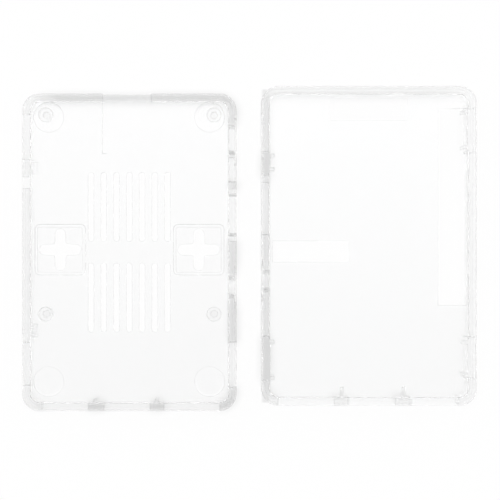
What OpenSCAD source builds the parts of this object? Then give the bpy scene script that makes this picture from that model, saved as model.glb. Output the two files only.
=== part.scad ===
// Two-shell snap-together case for a credit-card sized computer board.
// The case lies apart on a table, both shells with their outer face up:
// the base at -X, seen from underneath, and the lid at +X, seen from above.
// The port walls face each other, and +Y is the end with the memory card.

/* [Board] */
// Width of the board that the case is made for
board_w = 56; // [55:0.5:64]
// Length of the board
board_l = 85; // [84:0.5:96]
// Thickness of the board
board_t = 1.5; // [1:0.1:2]
// Distance from the board's edges to its mounting holes
hole_inset = 3.5; // [3:0.1:4.4]
// Distance between the board's mounting holes, along the board
hole_span_y = 58; // [50:0.5:62]
// Clearance between the board and the side walls
side_gap = 0.9; // [0.5:0.1:2]
// Clearance between the board and the card end wall
card_gap = 0.4; // [0.2:0.1:2]
// Clearance between the board and the socket wall
socket_gap = 2.4; // [1.6:0.1:4]

/* [Shells] */
// Wall thickness of both shells
wall = 2.2; // [1.8:0.1:2.6]
// Radius of the four upright corners
corner_r = 5; // [4:0.1:7]
// Radius of the edge round the outer face
edge_r = 1.2; // [0.6:0.1:1.6]
// Radius of the edge inside, where wall and floor meet
inner_edge_r = 0.6; // [0.3:0.1:0.9]
// Thickness of the base's floor
floor_t = 2; // [1.6:0.1:2.6]
// Thickness of the lid's roof
roof_t = 2; // [1.6:0.1:2.6]

/* [Rim] */
// Height of the parting line above the top face of the board
rim_above_board = 4; // [3.9:0.1:5]
// Thickness of the lip that runs round the lid's rim
lip_t = 1; // [0.8:0.1:1.2]
// Height of the lip beyond the lid's rim
lip_h = 1.2; // [0.8:0.1:1.6]
// Clearance between the lip and its rebate in the base
lip_gap = 0.1; // [0.05:0.05:0.2]

/* [Posts] */
// Height of the posts that carry the board above the floor
post_h = 5; // [4:0.1:6]
// Diameter of the board posts
post_d = 4.1; // [3.6:0.1:6]
// Diameter of the locating pin on each post
pin_d = 2; // [1.6:0.1:2.7]
// Height of the locating pin above its post
pin_h = 3; // [2:0.1:4]

/* [Feet] */
// Diameter of the shallow round seats for stick-on feet
foot_d = 8.7; // [7:0.1:9]
// Diameter of the flat floor of a foot seat
foot_floor_d = 7.2; // [6:0.1:7.6]
// Depth of the foot seats
foot_depth = 0.5; // [0.4:0.05:0.8]
// Depth of a foot seat at its edge, from where it slopes to its floor
foot_edge = 0.2; // [0.1:0.05:0.3]
// Distance from the side of the case to the middle of a foot seat
foot_side = 7.8; // [6.6:0.1:10]
// Distance from the card end of the case to the middle of a foot seat
foot_card = 7; // [6.4:0.1:10]
// Distance from the socket end of the case to the middle of a foot seat
foot_socket = 8.6; // [7.4:0.1:11]

/* [Vents] */
// Distance from one vent slot to the next
vent_pitch = 3.7; // [2.6:0.1:5]
// Width of a vent slot
vent_w = 1.6; // [1.2:0.1:2]
// Length of a vent slot, over its round ends
vent_l = 20; // [10:0.5:24]
// Bar of floor between the two rows of vents
vent_bar = 6.3; // [4:0.1:10]
// Least width of floor between the vents and the keyhole wells
vent_gap = 0.8; // [0.5:0.1:4]

/* [Keyholes] */
// Clearance between the side wall and a keyhole well
key_side = 1.45; // [0.5:0.05:3]
// Place of the keyholes along the case, from its middle
key_y = 0.75; // [-2:0.05:3]
// Side of the square well round a keyhole
key_well = 13; // [12.6:0.1:14]
// Thickness of the rim that carries the well, inside the case
key_rim = 0.85; // [0.6:0.05:1]
// Depth of the well below the outer face
key_depth = 1.2; // [0.6:0.1:1.6]
// Corner radius of the well's rim
key_corner = 1.5; // [1.1:0.1:2.5]
// Width of the arms of the cross
cross_w = 3.1; // [2.6:0.1:3.6]
// Length of the cross from tip to tip
cross_l = 12.1; // [10:0.1:12.3]
// Radius of the corners where the arms meet
cross_corner = 0.9; // [0.4:0.1:1.4]

/* [Card slot] */
// Width of the memory card slot
card_w = 14.2; // [12:0.1:17]
// Middle of the card slot, from the middle of the case
card_x = -0.8; // [-3:0.1:3]
// Height of the window for the card
card_h = 4.4; // [3:0.1:4.8]
// How far the window starts above the underside of the board
card_rise = 0.2; // [0:0.1:0.6]
// Depth of the finger recess in the outer face of the wall
card_recess = 0.4; // [0.2:0.1:0.8]
// Length of the lane in the floor, from the inner wall
card_lane_l = 15.3; // [12:0.1:17]
// Depth of the lane in the floor
card_lane_depth = 0.3; // [0.2:0.1:1]

/* [Port wall] */
// Middle of the power port, from the card end of the board
power_at = 10.6; // [10:0.1:11.4]
// Width of the power port
power_w = 8.7; // [7:0.1:9]
// Bevel of the power port's corners, next to the board
power_bevel = 1.2; // [0.4:0.1:1.6]
// Middle of the recess for the power plug, from the card end of the board
power_recess_at = 11.2; // [10.6:0.1:11.6]
// Width of the recess for the power plug
power_recess_w = 14; // [11:0.1:15]
// Height of the recess for the power plug
power_recess_h = 7.4; // [6:0.1:8]
// Corner radius of the power recess
power_recess_r = 1.6; // [0.6:0.1:2.4]
// Height of the power port's axis above the board
power_axis = 1.4; // [1.2:0.1:1.8]
// Middle of the video port, from the card end of the board
video_at = 32.6; // [31:0.1:34]
// Width of the video port
video_w = 15.4; // [14.6:0.1:16.4]
// Width of the video port's narrow side, next to the board
video_w_low = 10.6; // [10:0.1:12]
// Bevel of the video port's corners, next to the board
video_bevel = 1; // [0.6:0.1:1.4]
// Height of the video port above the board
video_h = 6.2; // [5.8:0.1:7]
// Radius of the video port's upper corners
video_corner = 0.4; // [0.3:0.1:2]
// Middle of the audio port, from the card end of the board
audio_at = 53.7; // [52:0.1:56]
// Diameter of the audio port
audio_d = 6.6; // [6.2:0.1:7.4]
// Diameter of the recess for the audio plug
audio_recess_d = 12.6; // [9:0.1:13]
// Height of the audio port's axis above the board
audio_axis = 3; // [2.6:0.1:3.4]
// Depth of the plug recesses in the outer face
recess_depth = 0.7; // [0.3:0.1:1]
// How far the ports reach below the top of the board
port_sink = 0.2; // [0:0.1:0.5]

/* [Socket wall] */
// Wall between the port side of the case and the network port
network_land = 4.9; // [4:0.1:7]
// Middle of the pillar beside the network port, from the middle of the case
inner_pillar_x = 7.8; // [6:0.1:9.4]
// Width of that pillar
inner_pillar_w = 4; // [2.4:0.1:5]
// Middle of the pillar between the double socket ports
outer_pillar_x = -10.05; // [-11.5:0.05:-8]
// Width of that pillar
outer_pillar_w = 4.5; // [2.4:0.1:5]
// Wall between the header side of the case and the outer socket port
socket_land = 5.2; // [4.6:0.1:7]
// Height of the network port above the board
network_h = 13.9; // [13:0.1:15.6]
// Height of the double socket ports above the board
socket_h = 16.1; // [15.9:0.1:18]
// Clearance between the socket ports and the lid's roof
socket_headroom = 0.4; // [0.2:0.1:2]
// Thickness of the ribs and gussets on the pillars between the ports
pillar_rib_t = 0.9; // [0.8:0.1:1.6]
// Reach of the ribs on the base's pillars
base_rib_reach = 1.2; // [0.6:0.1:1.6]
// Reach of the gussets on the lid's pillars, along the roof
gusset_reach = 3.6; // [2:0.1:5]
// Height at which the gussets leave the pillars, above the rim
gusset_rise = 0.6; // [0:0.1:3]

/* [Snaps] */
// Upper snap on the port wall: middle from the card end, and width
port_snap_card = [21.9, 6.9];
// Lower snap on the port wall: middle from the socket end, and width
port_snap_socket = [13.1, 13.2];
// Upper snap on the header wall: middle from the card end, and width
header_snap_card = [12.3, 13.2];
// Lower snap on the header wall: middle from the socket end, and width
header_snap_socket = [13.4, 12.4];
// How far the lid's tongues reach beyond its rim
tongue_drop = 2.5; // [2:0.1:3]
// Clearance round a tongue in its notch
tongue_gap = 0.3; // [0.2:0.05:0.5]
// Step from the outer face of the wall to the face of a tongue
tongue_inset = 0.45; // [0.2:0.05:0.8]
// Height of the tongue's face above the lid's rim
tongue_face_h = 9; // [6:0.1:11]
// How far a tongue stands proud of the inner face of the wall
tongue_pad = 0.4; // [0.2:0.1:0.8]
// Thickness of the two ribs behind a tongue
tongue_rib_t = 0.9; // [0.6:0.1:1.2]
// Reach of the ribs behind a tongue
tongue_rib_reach = 1.2; // [0.6:0.1:1.4]
// Distance from a tongue's end to the middle of its rib
tongue_rib_inset = 1.15; // [0.8:0.05:1.5]
// Radius of the small catches on a tongue's ends
catch_r = 0.4; // [0.35:0.05:0.8]
// Clearance of a catch in its groove
catch_gap = 0.1; // [0.05:0.05:0.2]

/* [Board clips] */
// Upper clip on the header wall: middle from the card end, and width
clip_card = [21.4, 3.6];
// Lower clip on the header wall: middle from the socket end, and width
clip_socket = [23.15, 3.9];
// How far a clip reaches over the board's edge
clip_bite = 0.7; // [0.4:0.1:1.2]
// Height of a clip's flat nose
clip_nose = 0.8; // [0.4:0.1:1]
// Height of the clip's ramp
clip_ramp = 0.8; // [0.6:0.1:1.6]
// Clearance between a clip and the board
clip_gap = 0.15; // [0.05:0.05:0.3]
// Middle of the slot that frees the upper clip's finger, from the card end
finger_slot_at = 25.8; // [25:0.1:27]
// Width of the finger slot
finger_slot_w = 3.4; // [2:0.1:4]
// Depth of the finger slot from the rim
finger_slot_h = 8; // [5:0.1:9]

/* [Lid slots] */
// Wall and roof between the header side of the lid and the header slot
header_slot_side = 2.9; // [2.6:0.1:5]
// Distance from the card end of the lid to the header slot
header_slot_card = 6.6; // [5:0.1:12]
// Width of the header slot
header_slot_w = 8.3; // [6:0.1:12]
// Length of the header slot
header_slot_l = 56.6; // [50:0.1:66]
// Wall and roof between the port side of the lid and the camera slot
camera_slot_side = 3.3; // [2.6:0.1:6]
// Distance from the card end of the lid to the camera slot
camera_slot_card = 44.7; // [38:0.1:60]
// Width of the camera slot, across the lid
camera_slot_w = 22; // [16:0.1:26]
// Length of the camera slot, along the lid
camera_slot_l = 6; // [2:0.1:10]
// Middle of the display slot, from the middle of the lid
display_slot_x = -0.05; // [-6:0.05:4]
// Distance from the card end of the lid to the display slot
display_slot_card = 3.6; // [2.8:0.1:12]
// Width of the display slot, across the lid
display_slot_w = 22.3; // [16:0.1:26]
// Length of the display slot, along the lid
display_slot_l = 6.4; // [2:0.1:10]

/* [Layout] */
// Clear distance between the two shells, as laid out
shell_apart = 7.1; // [1:0.1:40]
// How far the lid lies further along than the base
shell_stagger = 1.84; // [-20:0.02:20]

/* [Hidden] */
$fn = 64;

// Cuts run past the faces that they open by this much
over = 1;
// Pieces that are joined reach into each other by this much
bite = 0.5;

// Outside of the closed case, which is built round the board
case_w = board_w + 2 * (side_gap + wall);
case_l = board_l + card_gap + socket_gap + 2 * wall;
// Heights from the parting line to the outer faces
base_h = rim_above_board + board_t + post_h + floor_t;
lid_h = socket_h - rim_above_board + socket_headroom + roof_t;

// The board's card end, its mounting holes and the ports, from the middle of the case
board_card_y = case_l / 2 - wall - card_gap;
hole_x = board_w / 2 - hole_inset;
hole_ys = [board_card_y - hole_inset, board_card_y - hole_inset - hole_span_y];
power_y = board_card_y - power_at;
power_recess_y = board_card_y - power_recess_at;
video_y = board_card_y - video_at;
audio_y = board_card_y - audio_at;

// The same for the foot seats and keyholes
foot_x = case_w / 2 - foot_side;
foot_card_y = case_l / 2 - foot_card;
foot_socket_y = foot_socket - case_l / 2;
key_outer = key_well + 2 * key_rim;
key_x = case_w / 2 - wall - key_side - key_outer / 2;
// As many vent slots as fit between the wells, with one in the middle
vent_reach = key_x - key_outer / 2 - vent_gap - vent_w / 2;
vent_side_count = floor(vent_reach / vent_pitch);

// Ports of the socket wall, each as [low, high] across the case
network_span = [inner_pillar_x + inner_pillar_w / 2, case_w / 2 - network_land];
inner_socket_span = [outer_pillar_x + outer_pillar_w / 2, inner_pillar_x - inner_pillar_w / 2];
outer_socket_span = [socket_land - case_w / 2, outer_pillar_x - outer_pillar_w / 2];
pillars = [inner_pillar_x, outer_pillar_x];

// Snaps and clips as [middle, width], with the middle from the middle of the case
function from_card(at) = [case_l / 2 - at[0], at[1]];
function from_socket(at) = [at[0] - case_l / 2, at[1]];
port_snaps = [from_card(port_snap_card), from_socket(port_snap_socket)];
header_snaps = [from_card(header_snap_card), from_socket(header_snap_socket)];
clips = [from_card(clip_card), from_socket(clip_socket)];

// Slots of the lid as [low corner, size]
header_slot = [
  [case_w / 2 - header_slot_side - header_slot_w, case_l / 2 - header_slot_card - header_slot_l],
  [header_slot_w, header_slot_l]
];
camera_slot = [
  [camera_slot_side - case_w / 2, case_l / 2 - camera_slot_card - camera_slot_l],
  [camera_slot_w, camera_slot_l]
];
display_slot = [
  [display_slot_x - display_slot_w / 2, case_l / 2 - display_slot_card - display_slot_l],
  [display_slot_w, display_slot_l]
];

// A rounded rectangle, centred
module plan(w, l, r) {
  straight_w = w - 2 * r;
  straight_l = l - 2 * r;
  square([straight_w, l], center = true);
  square([w, straight_l], center = true);
  for (x = [-1, 1], y = [-1, 1])
    translate([x * straight_w / 2, y * straight_l / 2])
      circle(r);
}

// The section of a rounded edge: a quarter of a disc in the first quadrant,
// with a foot below it and behind it that runs into the block
module edge_section(r) {
  intersection() {
    circle(r);
    square(r);
  }
  translate([-bite, -bite])
    square([bite, bite + r]);
  translate([-bite, -bite])
    square([bite + r, bite]);
}

// A block on the plane z = 0 with upright corners of radius r
// and its top edge rounded all the way round with radius e
module soft_block(w, l, h, r, e) {
  straight_w = w - 2 * r;
  straight_l = l - 2 * r;
  linear_extrude(h - e)
    plan(w, l, r);
  translate([0, 0, h - e - bite])
    linear_extrude(e + bite)
      plan(w - 2 * e, l - 2 * e, r - e);
  translate([0, 0, h - e])
    for (side = [0, 1]) {
      mirror([side, 0, 0])
        translate([w / 2 - e, 0, 0])
          rotate([90, 0, 0])
            linear_extrude(straight_l, center = true)
              edge_section(e);
      mirror([0, side, 0])
        translate([0, l / 2 - e, 0])
          rotate([90, 0, 90])
            linear_extrude(straight_w, center = true)
              edge_section(e);
      for (end = [0, 1])
        mirror([side, 0, 0])
          mirror([0, end, 0])
            translate([straight_w / 2, straight_l / 2, 0])
              rotate_extrude(angle = 90)
                translate([r - e, 0])
                  edge_section(e);
    }
}

// An open-bottomed tray: the rim is at z = 0 and the closed face at z = h
module tray(h, face_t) {
  difference() {
    soft_block(case_w, case_l, h, corner_r, edge_r);
    translate([0, 0, -over])
      soft_block(case_w - 2 * wall, case_l - 2 * wall, h - face_t + over, corner_r - wall, inner_edge_r);
  }
}

// Turns an outline drawn as (along the wall, height) so that it lies on the
// wall at +X and is cut inwards from its outer face by the depth given
module into_port_wall(depth) {
  translate([case_w / 2 - depth, 0, 0])
    rotate([90, 0, 90])
      linear_extrude(depth + over)
        children();
}

// The same for the socket wall at -Y, drawn as (across the case, height)
module into_socket_wall(depth) {
  translate([0, depth - case_l / 2, 0])
    rotate([90, 0, 0])
      linear_extrude(depth + over)
        children();
}

// Outlines drawn from the top face of the board, seen from the base or the lid
module from_board_in_base() {
  translate([0, rim_above_board])
    mirror([0, 1])
      children();
}

module from_board_in_lid() {
  translate([0, -rim_above_board])
    children();
}

// Port outlines, as (along the wall, height above the board)
module power_port() {
  open = rim_above_board + over;
  translate([power_y, 0])
    polygon([
      [power_bevel - power_w / 2, -port_sink],
      [power_w / 2 - power_bevel, -port_sink],
      [power_w / 2, power_bevel - port_sink],
      [power_w / 2, open],
      [-power_w / 2, open],
      [-power_w / 2, power_bevel - port_sink]
    ]);
}

module power_plug_recess() {
  translate([power_recess_y, power_axis])
    plan(power_recess_w, power_recess_h, power_recess_r);
}

module video_port() {
  shoulder = video_bevel - port_sink;
  top = video_h - video_corner;
  translate([video_y, 0]) {
    polygon([
      [-video_w_low / 2, -port_sink],
      [video_w_low / 2, -port_sink],
      [video_w_low / 2 + video_bevel, shoulder],
      [video_w / 2, shoulder],
      [video_w / 2, top],
      [-video_w / 2, top],
      [-video_w / 2, shoulder],
      [-video_w_low / 2 - video_bevel, shoulder]
    ]);
    translate([-video_w / 2 + video_corner, top - over])
      square([video_w - 2 * video_corner, video_corner + over]);
    for (side = [-1, 1])
      translate([side * (video_w / 2 - video_corner), top])
        circle(video_corner);
  }
}

module audio_port() {
  translate([audio_y, audio_axis])
    circle(d = audio_d);
}

module audio_port_sides() {
  translate([audio_y - audio_d / 2, audio_axis])
    square([audio_d, rim_above_board - audio_axis + over]);
}

module audio_plug_recess() {
  translate([audio_y, audio_axis])
    circle(d = audio_recess_d);
}

// Socket outlines, as (across the case, height above the board)
module socket_ports() {
  for (port = [[network_span, network_h], [inner_socket_span, socket_h], [outer_socket_span, socket_h]])
    translate([port[0][0], -port_sink])
      square([port[0][1] - port[0][0], port[1] + port_sink]);
}

// One snap notch in the rim of the base, with a groove in each of its ends.
// It is drawn on the wall at +X.
module snap_notch(snap) {
  translate([case_w / 2 - wall - over, snap[0] - snap[1] / 2, -over])
    cube([wall + 2 * over, snap[1], tongue_drop + tongue_gap + over]);
  for (end = [-1, 1])
    translate([case_w / 2 - wall - over, snap[0] + end * (snap[1] / 2 - tongue_gap), tongue_drop / 2])
      rotate([0, 90, 0])
        cylinder(r = catch_r + catch_gap, h = wall + 2 * over);
}

// One tongue of the lid on the wall at +X: the strip that enters the notch,
// its catches and the two ribs behind it
module snap_tongue(snap) {
  length = snap[1] - 2 * tongue_gap;
  back = case_w / 2 - wall - tongue_pad;
  thick = wall + tongue_pad - tongue_inset;
  under_roof = lid_h - roof_t + over / 2;
  translate([back, snap[0] - length / 2, -tongue_drop])
    cube([thick, length, tongue_drop + lip_h]);
  translate([back, snap[0] - length / 2, 0])
    cube([tongue_pad + wall / 2, length, under_roof]);
  for (end = [-1, 1]) {
    translate([back, snap[0] + end * length / 2, -tongue_drop / 2])
      rotate([0, 90, 0])
        cylinder(r = catch_r, h = thick);
    translate([
      back - tongue_rib_reach,
      snap[0] + end * (length / 2 - tongue_rib_inset) - tongue_rib_t / 2,
      0
    ])
      cube([tongue_rib_reach + tongue_pad, tongue_rib_t, under_roof]);
  }
}

// The shallow step in the lid's outer face over a tongue
module tongue_face(snap) {
  length = snap[1] - 2 * tongue_gap;
  translate([case_w / 2 - tongue_inset, snap[0] - length / 2, -tongue_drop - over])
    cube([tongue_inset + over, length, tongue_drop + over + tongue_face_h]);
}

// Children are drawn on the wall at +X, and these two lay them on the port
// wall and on the header wall. port_side is 1 where the port wall is at +X
// and -1 where it is at -X.
module on_port_wall(port_side) {
  mirror([(1 - port_side) / 2, 0, 0])
    children();
}

module on_header_wall(port_side) {
  mirror([(1 + port_side) / 2, 0, 0])
    children();
}

// Slot with round ends, along Y
module vent_slot() {
  square([vent_w, vent_l - vent_w], center = true);
  for (end = [-1, 1])
    translate([0, end * (vent_l - vent_w) / 2])
      circle(d = vent_w);
}

module vents() {
  row_y = (vent_l + vent_bar) / 2;
  for (row = [-1, 1], i = [-vent_side_count : vent_side_count])
    translate([i * vent_pitch, row * row_y])
      vent_slot();
}

// Cross-shaped keyhole with round arm ends and rounded inner corners
module cross() {
  arm = cross_l - cross_w;
  heart = cross_w / 2 + cross_corner;
  for (turn = [0, 90])
    rotate(turn) {
      square([cross_w, arm], center = true);
      for (end = [-1, 1])
        translate([0, end * arm / 2])
          circle(d = cross_w);
    }
  difference() {
    square(2 * heart, center = true);
    for (x = [-1, 1], y = [-1, 1])
      translate([x * heart, y * heart])
        circle(cross_corner);
  }
}

module at_keyholes() {
  for (side = [-1, 1])
    translate([side * key_x, key_y])
      children();
}

// A seat for a stick-on foot, sunk in the outer face of the base
module foot_seat() {
  translate([0, 0, base_h - foot_edge])
    cylinder(d = foot_d, h = foot_edge + over);
  translate([0, 0, base_h - foot_depth])
    cylinder(d1 = foot_floor_d, d2 = foot_d, h = foot_depth - foot_edge);
}

// A post with its locating pin, hanging from the floor towards the rim
module board_post() {
  under_floor = base_h - floor_t;
  translate([0, 0, under_floor - post_h])
    cylinder(d = post_d, h = post_h + floor_t / 2);
  translate([0, 0, under_floor - post_h - pin_h])
    cylinder(d = pin_d, h = pin_h + post_h / 2);
}

// A clip's nose over the edge of the board, with its ramp towards the rim.
// It is drawn on the wall at +X.
module board_clip(clip) {
  face = case_w / 2 - wall;
  catch_z = rim_above_board - clip_gap;
  translate([0, clip[0] + clip[1] / 2, 0])
    rotate([90, 0, 0])
      linear_extrude(clip[1])
        polygon([
          [face + wall / 2, catch_z],
          [face - side_gap - clip_bite, catch_z],
          [face - side_gap - clip_bite, catch_z - clip_nose],
          [face, catch_z - clip_nose - clip_ramp],
          [face + wall / 2, catch_z - clip_nose - clip_ramp]
        ]);
}

// The base, rim down and outer face up, with its port wall at +X
module base_local() {
  inner_z = base_h - floor_t;
  difference() {
    union() {
      tray(base_h, floor_t);
      at_keyholes()
        translate([0, 0, inner_z - key_depth])
          linear_extrude(key_depth + floor_t / 2)
            plan(key_outer, key_outer, key_corner);
      for (side = [-1, 1], y = hole_ys)
        translate([side * hole_x, y, 0])
          board_post();
      for (x = pillars)
        translate([x - pillar_rib_t / 2, (wall - case_l) / 2, 0])
          cube([pillar_rib_t, wall / 2 + base_rib_reach, base_h - floor_t / 2]);
      on_header_wall(1)
        for (clip = clips)
          board_clip(clip);
    }

    // Rebate inside the rim for the lid's lip
    translate([0, 0, -over])
      linear_extrude(lip_h + lip_gap + over)
        plan(
          case_w - 2 * (wall - lip_t - lip_gap),
          case_l - 2 * (wall - lip_t - lip_gap),
          corner_r - (wall - lip_t - lip_gap)
        );

    // Vents, wells, keyholes and foot seats in the floor
    translate([0, 0, inner_z - over])
      linear_extrude(floor_t + 2 * over)
        vents();
    at_keyholes() {
      translate([0, 0, base_h - key_depth])
        linear_extrude(key_depth + over)
          plan(key_well, key_well, key_corner - key_rim);
      translate([0, 0, inner_z - key_depth - over])
        linear_extrude(floor_t + key_depth + 2 * over)
          cross();
    }
    for (side = [-1, 1], y = [foot_card_y, foot_socket_y])
      translate([side * foot_x, y])
        foot_seat();

    // Card slot: window, finger recess and lane
    translate([card_x - card_w / 2, case_l / 2 - wall - over, rim_above_board + board_t - card_rise])
      cube([card_w, wall + 2 * over, card_h]);
    translate([card_x - card_w / 2, case_l / 2 - card_recess, -over])
      cube([card_w, card_recess + over, base_h + 2 * over]);
    translate([card_x - card_w / 2, case_l / 2 - wall - card_lane_l, inner_z - over])
      cube([card_w, card_lane_l, card_lane_depth + over]);

    // Port wall
    into_port_wall(wall + over)
      from_board_in_base() {
        power_port();
        video_port();
        audio_port();
        audio_port_sides();
      }
    into_port_wall(recess_depth)
      from_board_in_base() {
        power_plug_recess();
        audio_plug_recess();
      }

    // Socket wall, with the ribs left standing beside the ports
    into_socket_wall(wall + over)
      from_board_in_base()
        socket_ports();

    // Snap notches and the slot beside the upper clip's finger
    on_port_wall(1)
      for (snap = port_snaps)
        snap_notch(snap);
    on_header_wall(1) {
      for (snap = header_snaps)
        snap_notch(snap);
      translate([case_w / 2 - wall - over, case_l / 2 - finger_slot_at - finger_slot_w / 2, -over])
        cube([wall + 2 * over, finger_slot_w, finger_slot_h + over]);
    }
  }
}

// The lid, rim down and outer face up, with its port wall at -X
module lid_local() {
  inner_z = lid_h - roof_t;
  difference() {
    union() {
      tray(lid_h, roof_t);

      // Lip round the rim
      translate([0, 0, -lip_h])
        difference() {
          linear_extrude(lip_h + inner_z / 2)
            plan(case_w - 2 * (wall - lip_t), case_l - 2 * (wall - lip_t), corner_r - (wall - lip_t));
          translate([0, 0, -over])
            linear_extrude(lip_h + inner_z / 2 + 2 * over)
              plan(case_w - 2 * wall, case_l - 2 * wall, corner_r - wall);
        }

      // Gussets on the pillars between the sockets
      for (x = pillars)
        translate([-x - pillar_rib_t / 2, wall - case_l / 2, 0])
          rotate([90, 0, 90])
            linear_extrude(pillar_rib_t)
              polygon([
                [-wall / 2, gusset_rise],
                [0, gusset_rise],
                [gusset_reach, inner_z + roof_t / 2],
                [-wall / 2, inner_z + roof_t / 2]
              ]);

      // Snap tongues
      on_port_wall(-1)
        for (snap = port_snaps)
          snap_tongue(snap);
      on_header_wall(-1)
        for (snap = header_snaps)
          snap_tongue(snap);
    }

    // Faces of the tongues
    on_port_wall(-1)
      for (snap = port_snaps)
        tongue_face(snap);
    on_header_wall(-1)
      for (snap = header_snaps)
        tongue_face(snap);

    // Slots through the roof
    for (slot = [header_slot, camera_slot, display_slot])
      translate([slot[0][0], slot[0][1], inner_z - over])
        cube([slot[1][0], slot[1][1], roof_t + 2 * over]);

    // Port wall
    on_port_wall(-1) {
      into_port_wall(wall + over)
        from_board_in_lid() {
          video_port();
          audio_port();
        }
      into_port_wall(recess_depth)
        from_board_in_lid() {
          power_plug_recess();
          audio_plug_recess();
        }
    }

    // Socket wall
    mirror([1, 0, 0])
      into_socket_wall(wall + over)
        from_board_in_lid()
          socket_ports();
  }
}

module base_shell() {
  color([0.93, 0.95, 0.95, 0.5])
    translate([-(case_w + shell_apart) / 2, -shell_stagger / 2, 0])
      base_local();
}

// The lid stands on the tips of its tongues
module lid_shell() {
  color([0.93, 0.95, 0.95, 0.5])
    translate([(case_w + shell_apart) / 2, shell_stagger / 2, tongue_drop])
      lid_local();
}

base_shell();
lid_shell();
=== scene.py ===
# %% [markdown]
# # A clear snap-together case for a small computer board
#
# The object is a pair of injection-moulded shells, taken apart and laid side by side on a white
# table. Both are moulded in clear plastic, so nearly all that the eye has to go on is what happens
# at the edges: a flat sheet of clear plastic is almost invisible, while every rim, slot and rib
# bends the view and shows as a fine grey line. The lesson is therefore about edges, about clear
# material, and about a bright set that still leaves something grey to bend.

import math

import bmesh
import bpy
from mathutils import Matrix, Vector


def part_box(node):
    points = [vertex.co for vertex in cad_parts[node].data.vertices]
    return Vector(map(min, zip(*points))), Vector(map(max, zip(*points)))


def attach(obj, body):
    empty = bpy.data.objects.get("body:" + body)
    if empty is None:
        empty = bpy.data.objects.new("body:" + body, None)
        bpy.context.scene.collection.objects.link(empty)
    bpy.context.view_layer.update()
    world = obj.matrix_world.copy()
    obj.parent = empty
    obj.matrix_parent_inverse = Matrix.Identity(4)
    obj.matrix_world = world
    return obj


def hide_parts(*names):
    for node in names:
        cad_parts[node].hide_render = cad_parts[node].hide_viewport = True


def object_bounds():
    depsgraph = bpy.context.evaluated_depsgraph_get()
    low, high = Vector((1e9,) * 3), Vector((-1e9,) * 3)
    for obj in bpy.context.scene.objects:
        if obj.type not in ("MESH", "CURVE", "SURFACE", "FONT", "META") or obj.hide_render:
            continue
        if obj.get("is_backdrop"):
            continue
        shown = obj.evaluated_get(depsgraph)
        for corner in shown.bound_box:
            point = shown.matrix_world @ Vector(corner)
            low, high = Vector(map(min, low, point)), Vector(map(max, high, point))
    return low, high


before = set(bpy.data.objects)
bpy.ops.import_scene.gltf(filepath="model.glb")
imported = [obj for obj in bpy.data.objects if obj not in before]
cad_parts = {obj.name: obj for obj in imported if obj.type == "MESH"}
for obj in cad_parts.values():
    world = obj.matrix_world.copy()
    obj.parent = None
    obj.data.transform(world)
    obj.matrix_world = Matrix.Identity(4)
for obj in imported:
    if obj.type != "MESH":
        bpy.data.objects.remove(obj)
cad_low, cad_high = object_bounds()
MM = 0.001
print("CAD box, mm:", [round(v / MM, 2) for v in cad_low], [round(v / MM, 2) for v in cad_high])

# %% [markdown]
# The two shells are separate nodes, and everything below is placed from their boxes. The base
# lies at -X with its underside up, and the lid at +X with its roof up, standing on the tips of
# its four snap tongues.

# %% Boxes of the two shells
base_low, base_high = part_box("base_shell")
lid_low, lid_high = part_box("lid_shell")
for name, low, high in (("base", base_low, base_high), ("lid", lid_low, lid_high)):
    print(name, "size, mm:", [round(v / MM, 2) for v in high - low])

# %% [markdown]
# The photograph looks straight down, from far enough away that the walls lean outwards by only a
# pixel or two. Such a view is set by two facts: how wide a strip of the table it takes in, and
# from how high. The strip is measured on the level of the shells' upper faces, where the
# outlines are, and the lens follows from the two.

# %% Camera
VIEW_WIDTH = 144.9 * MM
VIEW_LEVEL = 12 * MM
VIEW_HEIGHT = 690 * MM
VIEW_CENTRE = Vector((0.35 * MM, -0.26 * MM, 0))
FILM_WIDTH = 36

lens = bpy.data.cameras.new("copy_stand")
lens.sensor_width = FILM_WIDTH
lens.lens = lens.sensor_width * VIEW_HEIGHT / VIEW_WIDTH
camera = bpy.data.objects.new("copy_stand", lens)
camera.location = VIEW_CENTRE + Vector((0, 0, VIEW_LEVEL + VIEW_HEIGHT))
bpy.context.scene.collection.objects.link(camera)
bpy.context.scene.camera = camera
print("lens, mm:", round(lens.lens, 1))

# %% [markdown]
# Materials are written as sums and products, the way one would on paper. `Value` wraps a shader
# socket and answers to + - * /, from either side, by adding the Math node that does it. Two more
# words are built on these: `share` holds a value between 0 and 1, and `within` marks a range with
# soft ends. `Shader` owns a node tree and has one method that adds any other node: first its
# settings, then its sockets, each by a number or by a link.

# %% Shader arithmetic
class Value:
    """A number that a shader socket gives."""

    def __init__(self, shader, socket):
        self.shader, self.socket = shader, socket

    def _with(self, operation, a, b):
        return self.shader.node("Math", {"operation": operation}, {0: a, 1: b})

    def __add__(self, other):
        return self._with("ADD", self, other)

    def __radd__(self, other):
        return self._with("ADD", other, self)

    def __sub__(self, other):
        return self._with("SUBTRACT", self, other)

    def __rsub__(self, other):
        return self._with("SUBTRACT", other, self)

    def __mul__(self, other):
        return self._with("MULTIPLY", self, other)

    def __rmul__(self, other):
        return self._with("MULTIPLY", other, self)

    def __truediv__(self, other):
        return self._with("DIVIDE", self, other)

    def __rtruediv__(self, other):
        return self._with("DIVIDE", other, self)

    def at_least(self, other):
        return self._with("MAXIMUM", self, other)

    def at_most(self, other):
        return self._with("MINIMUM", self, other)

    def share(self):
        """The value held between 0 and 1."""
        return self.at_least(0.0).at_most(1.0)

    def within(self, low, high, fade):
        """1 between low and high, falling to 0 over a fade outside them."""
        return ((self - low) / fade + 1).share() * ((high - self) / fade + 1).share()

    def sibling(self, output):
        """Another output of the node that this value comes from."""
        return Value(self.shader, self.socket.node.outputs[output])


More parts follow.
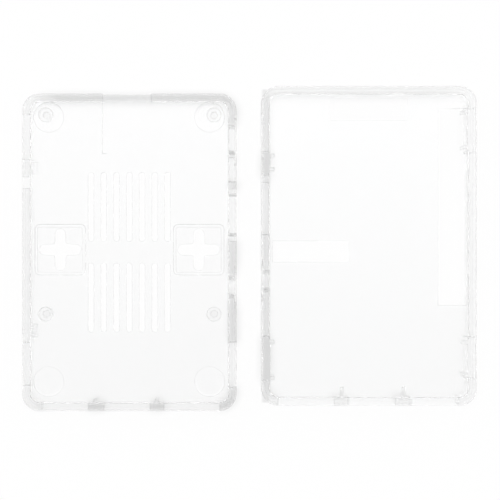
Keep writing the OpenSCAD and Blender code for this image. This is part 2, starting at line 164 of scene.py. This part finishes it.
class Shader:
    """A node tree, of a material or of the world."""

    def __init__(self, tree):
        self.tree = tree
        self.tree.nodes.clear()

    def node(self, kind, settings=None, sockets=None, out=0):
        made = self.tree.nodes.new("ShaderNode" + kind)
        for name, setting in (settings or {}).items():
            setattr(made, name, setting)
        for key, value in (sockets or {}).items():
            if isinstance(value, Value):
                self.tree.links.new(value.socket, made.inputs[key])
            else:
                made.inputs[key].default_value = value
        return Value(self, made.outputs[out]) if len(made.outputs) else made


def new_material(name):
    material = bpy.data.materials.new(name)
    material.use_nodes = True
    return material, Shader(material.node_tree)


print("shader helpers ready")

# %% [markdown]
# A steel mould never leaves an edge quite sharp. Rounding thousands of small edges in the mesh
# would cost far more faces than the eye can see, so the shader does it: the Bevel node turns the
# normal within a fraction of a millimetre of each edge. Where it turns it, a painted shade is
# mixed
# in: a grey diffuse that stands in for the grey lines that rounded edges of clear plastic bend
# into view. It is painted strongest on the edges of the outer face. One patch of each shell, round
# the card lane and round the display slot, is left crisp, with no painted edge shade: with no
# round to catch the light, an edge that is seen from straight above hardly shows.

# %% Rounded edges with painted edge shade
NODE_SAMPLES = 8
EDGE_ROUND = 0.3 * MM
EDGE_SHADE_GREY = 0.09
FACE_EDGE_SHADE_GREY = 0.2
FACE_SKIN = 0.2 * MM
EDGE_SHADE_GAIN = 4.0
CRISP_FADE = 0.5 * MM


def rounded_normal(shader, across, crisp):
    """The normal with its edges rounded, except inside the crisp patch."""
    (x_low, x_high), (y_low, y_high) = crisp
    patch = across.within(x_low, x_high, CRISP_FADE)
    patch = patch * across.sibling("Y").within(y_low, y_high, CRISP_FADE)
    samples = {"samples": NODE_SAMPLES}
    return shader.node("Bevel", samples, {"Radius": EDGE_ROUND * (1 - patch)})


def painted_edge_shade(shader, rounded, across, face):
    """How much painted edge shade an edge gets: 0 on flat faces, and most on the outer face's
    edges.
    """
    on_face = ((across.sibling("Z") - face) / FACE_SKIN + 2).share()
    grey = EDGE_SHADE_GREY + on_face * (FACE_EDGE_SHADE_GREY - EDGE_SHADE_GREY)
    own = shader.node("NewGeometry", out="Normal")
    dot = {"operation": "DOT_PRODUCT"}
    along = shader.node("VectorMath", dot, {0: rounded, 1: own}, out="Value")
    return ((1 - along) * EDGE_SHADE_GAIN).share() * grey


print("edge round, mm:", round(EDGE_ROUND / MM, 2))

# %% [markdown]
# The plastic itself is a dielectric with an index of about 1.5, and several things keep it from
# being a perfect glass.
#
# - Pure refraction draws every rounded edge black, which is harsher than thin plastic looks on a
#   bright table. So half of the light goes straight through at each face: that is what an Alpha of
#   one half does.
# - A faint smoke in the volume takes light by the length of the way through the plastic, so a wall
#   seen along its height is greyer than a floor seen through its thickness.
# - The moulding leaves a very faint ripple in the faces, as molten plastic flows and shrinks, and
#   the roughness drifts over the part in the same cloudy pattern.
# - The plastic is slightly milky: a small share of it is a diffuse white.
#
# All of it reads Object coordinates in metres, so the pattern stays on the part from any side.

# %% Clear plastic
CLEAR = (0.995, 0.998, 0.998, 1)
MILKY = (0.93, 0.94, 0.94, 1)
EDGE_SHADE_COLOUR = (0.5, 0.51, 0.51, 1)
BLACK = (0.0, 0.0, 0.0, 1)
CLEARNESS = 0.5
PLASTIC_IOR = 1.5
CLOUD = {"Scale": 55.0, "Detail": 3.0, "Roughness": 0.55}
RIPPLE = {"Strength": 0.04, "Distance": 0.05 * MM}
ROUGH, ROUGH_DRIFT = 0.05, 0.06
MILK, MILK_LEAST, MILK_DRIFT = 0.02, 0.7, 0.6


def clear_plastic(name, smoke, seed, face, crisp):
    material, shader = new_material(name)
    where = shader.node("TexCoord", out="Object")
    across = shader.node("SeparateXYZ", {}, {"Vector": where}, out="X")
    four_d = {"noise_dimensions": "4D"}
    cloud = shader.node("TexNoise", four_d, {"Vector": where, "W": seed, **CLOUD})
    rounded = rounded_normal(shader, across, crisp)
    # how much painted edge shade each point gets
    shade_at_edges = painted_edge_shade(shader, rounded, across, face)
    rippled = {**RIPPLE, "Height": cloud, "Normal": rounded}
    ripple = shader.node("Bump", {}, rippled, out="Normal")
    glass = shader.node(
        "BsdfPrincipled", {},
        {
            "Base Color": CLEAR,
            "Roughness": ROUGH + cloud * ROUGH_DRIFT,
            "IOR": PLASTIC_IOR,
            "Transmission Weight": 1.0,
            "Alpha": CLEARNESS,
            "Normal": ripple,
        },
    )
    milky = shader.node("BsdfDiffuse", {}, {"Color": MILKY, "Normal": ripple})
    # painted edge shade: a flat grey diffuse, mixed in at rounded edges for the grey lines they
    # bend into view
    shade_grey_bsdf = shader.node("BsdfDiffuse", {}, {"Color": EDGE_SHADE_COLOUR})
    milk = MILK * (MILK_LEAST + cloud * MILK_DRIFT)
    mixed = shader.node("MixShader", {}, {"Fac": milk, 1: glass, 2: milky})
    edged = shader.node("MixShader", {}, {"Fac": shade_at_edges, 1: mixed, 2: shade_grey_bsdf})
    depth = shader.node("VolumeAbsorption", {}, {"Color": BLACK, "Density": smoke})
    shader.node("OutputMaterial", {}, {"Surface": edged, "Volume": depth})
    return material


print("plastic index:", PLASTIC_IOR, "straight through:", CLEARNESS)

# %% [markdown]
# The base stands with its rim on the table and looks greyer, so it gets twice the lid's smoke: the
# extra smoke is painted shade, a darker copy of the same plastic. The seeds give each shell a
# cloud of its own.

# %% Plastics of the two shells
CARD_LANE_PATCH = ((-41 * MM, -27.5 * MM), (25 * MM, 43 * MM))
DISPLAY_SLOT_PATCH = ((20 * MM, 58 * MM), (-14 * MM, 43.5 * MM))

# the base's extra smoke, above the lid's, is painted shade
base_plastic = clear_plastic(
    "clear_plastic_base", smoke=8.0, seed=1.0, face=base_high.z, crisp=CARD_LANE_PATCH,
)
lid_plastic = clear_plastic(
    "clear_plastic_lid", smoke=4.0, seed=7.0, face=lid_high.z, crisp=DISPLAY_SLOT_PATCH,
)
print("materials:", [m.name for m in bpy.data.materials])

# %% [markdown]
# The CAD nodes come as loose triangles, each shaded by itself. So a copy of each shell is merged
# into one closed skin, and its flat triangles are joined into whole faces. It is worked on in
# millimetres, because some of Blender's mesh tools take very short lengths for nothing.

# %% Merge a shell into one skin
MERGE_MM = 0.002
FLAT = math.radians(0.5)


def merged_copy(node):
    work = bmesh.new()
    work.from_mesh(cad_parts[node].data)
    bmesh.ops.scale(work, vec=Vector((1, 1, 1)) / MM, verts=work.verts)
    bmesh.ops.remove_doubles(work, verts=work.verts, dist=MERGE_MM)
    bmesh.ops.dissolve_limit(work, angle_limit=FLAT, verts=work.verts, edges=work.edges)
    open_edges = sum(len(edge.link_faces) != 2 for edge in work.edges)
    print(node, "faces:", len(work.faces), "open edges:", open_edges)
    bmesh.ops.scale(work, vec=Vector((MM, MM, MM)), verts=work.verts)
    mesh = bpy.data.meshes.new(node + "_merged")
    work.to_mesh(mesh)
    work.free()
    return mesh


# %% [markdown]
# Which edges of a skin are creases follows one rule, the angle between its two faces, so a small
# Geometry Nodes tree marks them. The rounds and the posts are shaded smooth, everything steeper
# than the crease angle stays an edge, and the plastic is laid on at the end. The angle and the
# material are inputs of the tree, so one tree serves both shells.

# %% Skin tree
def skin_tree():
    tree = bpy.data.node_groups.new("moulded_skin", "GeometryNodeTree")
    for name, side, kind in (
        ("Shell", "INPUT", "Geometry"),
        ("Crease Angle", "INPUT", "Float"),
        ("Plastic", "INPUT", "Material"),
        ("Skin", "OUTPUT", "Geometry"),
    ):
        tree.interface.new_socket(name, in_out=side, socket_type="NodeSocket" + kind)

    def add(kind, **settings):
        made = tree.nodes.new(kind)
        for key, value in settings.items():
            setattr(made, key, value)
        return made

    def link(source, target):
        tree.links.new(source, target)

    given = add("NodeGroupInput")
    angle = add("GeometryNodeInputMeshEdgeAngle")
    soft = add("FunctionNodeCompare", data_type="FLOAT", operation="LESS_THAN")
    faces = add("GeometryNodeSetShadeSmooth", domain="FACE")
    edges = add("GeometryNodeSetShadeSmooth", domain="EDGE")
    real = add("GeometryNodeRealizeInstances")
    plastic = add("GeometryNodeSetMaterial")
    result = add("NodeGroupOutput")

    link(given.outputs["Shell"], faces.inputs["Geometry"])
    link(faces.outputs["Geometry"], edges.inputs["Geometry"])
    link(angle.outputs["Unsigned Angle"], soft.inputs["A"])
    link(given.outputs["Crease Angle"], soft.inputs["B"])
    link(soft.outputs["Result"], edges.inputs["Shade Smooth"])
    link(edges.outputs["Geometry"], real.inputs["Geometry"])
    link(real.outputs["Geometry"], plastic.inputs["Geometry"])
    link(given.outputs["Plastic"], plastic.inputs["Material"])
    link(plastic.outputs["Geometry"], result.inputs["Skin"])
    return tree


def set_inputs(modifier, **values):
    """Sets a modifier's inputs by the identifiers of the tree's named sockets."""
    for item in modifier.node_group.interface.items_tree:
        name = item.name.replace(" ", "_")
        if item.in_out == "INPUT" and name in values:
            modifier[item.identifier] = values[name]


MOULDED = skin_tree()
print("skin tree nodes:", len(MOULDED.nodes))

# %% [markdown]
# The tree's result is turned into a plain mesh, because the export drops what is still a modifier
# made of nodes. The big flat faces must stay truly flat under smooth shading, or they would bend
# the view like a bad window. A Weighted Normal modifier does that: at each corner the largest face
# decides, so only the rounds turn the light.

# %% Skins of the shells
CREASE = math.radians(28)
LARGEST_FACE_ONLY = 100


def plain_mesh(source, tree, **values):
    maker = bpy.data.objects.new("maker", source)
    bpy.context.scene.collection.objects.link(maker)
    modifier = maker.modifiers.new("tree", "NODES")
    modifier.node_group = tree
    set_inputs(modifier, **values)
    evaluated = maker.evaluated_get(bpy.context.evaluated_depsgraph_get())
    mesh = bpy.data.meshes.new_from_object(evaluated)
    bpy.data.objects.remove(maker)
    return mesh


def skin(node, name, material):
    mesh = plain_mesh(merged_copy(node), MOULDED, Crease_Angle=CREASE, Plastic=material)
    mesh.name = name
    piece = bpy.data.objects.new(name, mesh)
    bpy.context.scene.collection.objects.link(piece)
    flat_faces = piece.modifiers.new("flat_faces", "WEIGHTED_NORMAL")
    flat_faces.weight = LARGEST_FACE_ONLY
    flat_faces.keep_sharp = True
    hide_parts(node)
    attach(piece, "root")
    print(name, "faces:", len(mesh.polygons), "materials:", [m.name for m in mesh.materials])


skin("base_shell", "base_skin", base_plastic)
skin("lid_shell", "lid_skin", lid_plastic)

# %% [markdown]
# The table is plain white. The camera, and every ray that the plastic reflects or bends, sees it
# near full white. A glow has no shadow, so the shade is worked out instead: Ambient Occlusion
# tells how much of the sky each point of the table has lost to what stands on it. Within a few
# millimetres that gives the shade right under the rims. The outer sides of the pair are lit from
# the side, so they get none of it. The lid's inner wall stands a little off the table and faces
# the other shell, so a wider reach, held under that wall, shades it too.

# %% Shade on the table
CONTACT_REACH = 2.4 * MM
CONTACT_SHADE = 0.24
SIDE_LIGHT_FROM = 56 * MM
SIDE_LIGHT_FADE = 8 * MM
GAP_REACH = 6 * MM
GAP_LIMIT = 0.17
GAP_WALL = 2.2 * MM
GAP_FADE = 0.8 * MM
GAP_END_FADE = 0.1 * MM


def hidden_sky(shader, reach):
    """The share of the sky that the shells hide, out to a reach."""
    samples = {"samples": NODE_SAMPLES}
    return 1 - shader.node("AmbientOcclusion", samples, {"Distance": reach}, out="AO")


def shade_of_shells(shader):
    place = shader.node("TexCoord", out="Object")
    across = shader.node("SeparateXYZ", {}, {"Vector": place}, out="X")
    aside = across.at_least(0 - across)
    side_light = ((aside - SIDE_LIGHT_FROM) / SIDE_LIGHT_FADE).share()
    contact = hidden_sky(shader, CONTACT_REACH) * CONTACT_SHADE * (1 - side_light)
    under_wall = across.within(lid_low.x + GAP_FADE, lid_low.x + GAP_WALL, GAP_FADE)
    beside_lid = across.sibling("Y").within(lid_low.y, lid_high.y, GAP_END_FADE)
    crowded = hidden_sky(shader, GAP_REACH).at_most(GAP_LIMIT) * under_wall * beside_lid
    return contact.at_least(crowded)


print("shade reaches, mm:", round(CONTACT_REACH / MM, 2), round(GAP_REACH / MM, 2))

# %% [markdown]
# The table itself is one large face. Its glow is mixed in only for the rays that look at it, and
# for all others it stays a matt white that lights the shells from below.

# %% Table
TABLE_REACH = 3.0
TABLE_GLOW = 0.97
TABLE_WHITE = (0.9, 0.9, 0.9, 1)


def white_table():
    material, shader = new_material("white_table")
    camera_ray = shader.node("LightPath", out="Is Camera Ray")
    seen = camera_ray
    for ray in ("Is Glossy Ray", "Is Transmission Ray"):
        seen = seen.at_least(camera_ray.sibling(ray))
    matt = shader.node("BsdfDiffuse", {}, {"Color": TABLE_WHITE})
    glow = shader.node("Emission", {}, {"Color": 1 - shade_of_shells(shader)})
    mixed = shader.node("MixShader", {}, {"Fac": seen * TABLE_GLOW, 1: matt, 2: glow})
    shader.node("OutputMaterial", {}, {"Surface": mixed})
    return material


corners = [(-1, -1), (1, -1), (1, 1), (-1, 1)]
table_mesh = bpy.data.meshes.new("table")
table_mesh.from_pydata([(x * TABLE_REACH, y * TABLE_REACH, 0) for x, y in corners], [], [range(4)])
table_mesh.materials.append(white_table())
table = bpy.data.objects.new("table", table_mesh)
table.location.z = cad_low.z
bpy.context.scene.collection.objects.link(table)
table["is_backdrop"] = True
print("table at z, mm:", round(table.location.z / MM, 3))

# %% [markdown]
# Clear plastic shows its surroundings, so the lighting decides what the edges look like. Two broad
# soft boxes give the white, one from each side.

# %% Soft boxes
BOX_SIZE = 1.2


def soft_box(name, place, power):
    lamp = bpy.data.lights.new(name, "AREA")
    lamp.shape = "SQUARE"
    lamp.size = BOX_SIZE
    lamp.energy = power
    box = bpy.data.objects.new(name, lamp)
    box.location = place
    box.rotation_mode = "QUATERNION"
    box.rotation_quaternion = (-box.location).to_track_quat("-Z", "Y")
    bpy.context.scene.collection.objects.link(box)


soft_box("soft_box_left", (-0.9, 0.5, 1.5), power=5)
soft_box("soft_box_right", (0.9, 0.2, 1.6), power=4)

# %% [markdown]
# The world is a little darker near the horizon, and that band is what the rims and slots bend into
# view as grey lines. Right overhead it goes from dark to bright over a few degrees: the flat faces
# mirror that patch to the camera, which is why the near end of both shells looks greyer than the
# far end. Light crosses many walls of plastic before it reaches the camera, so it may bend often.

# %% World
HORIZON = 0.8
DARK_SIDE = 0.0
BRIGHT_SIDE = 1.8
PATCH_HALF = 0.07
BOUNCES = 32

world = bpy.data.worlds.new("studio")
world.use_nodes = True
sky = Shader(world.node_tree)
direction = sky.node("TexCoord", out="Generated")
along = sky.node("SeparateXYZ", {}, {"Vector": direction}, out="Y")
side = (along / (2 * PATCH_HALF) + 0.5).share()
overhead = DARK_SIDE + side * (BRIGHT_SIDE - DARK_SIDE)
height = along.sibling("Z").at_least(0.0)
strength = HORIZON + height * (overhead - HORIZON)
white = sky.node("Background", {}, {"Color": (1, 1, 1, 1), "Strength": strength})
sky.node("OutputWorld", {}, {"Surface": white})

scene = bpy.context.scene
scene.world = world
scene.cycles.max_bounces = BOUNCES
scene.cycles.transmission_bounces = BOUNCES
scene.view_settings.view_transform = "Standard"
print("world:", scene.world.name, "bounces:", scene.cycles.max_bounces)

# %% [markdown]
# Last, the finished bounds of the scene are worked out.

# %% Sizes and finish
low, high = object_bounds()
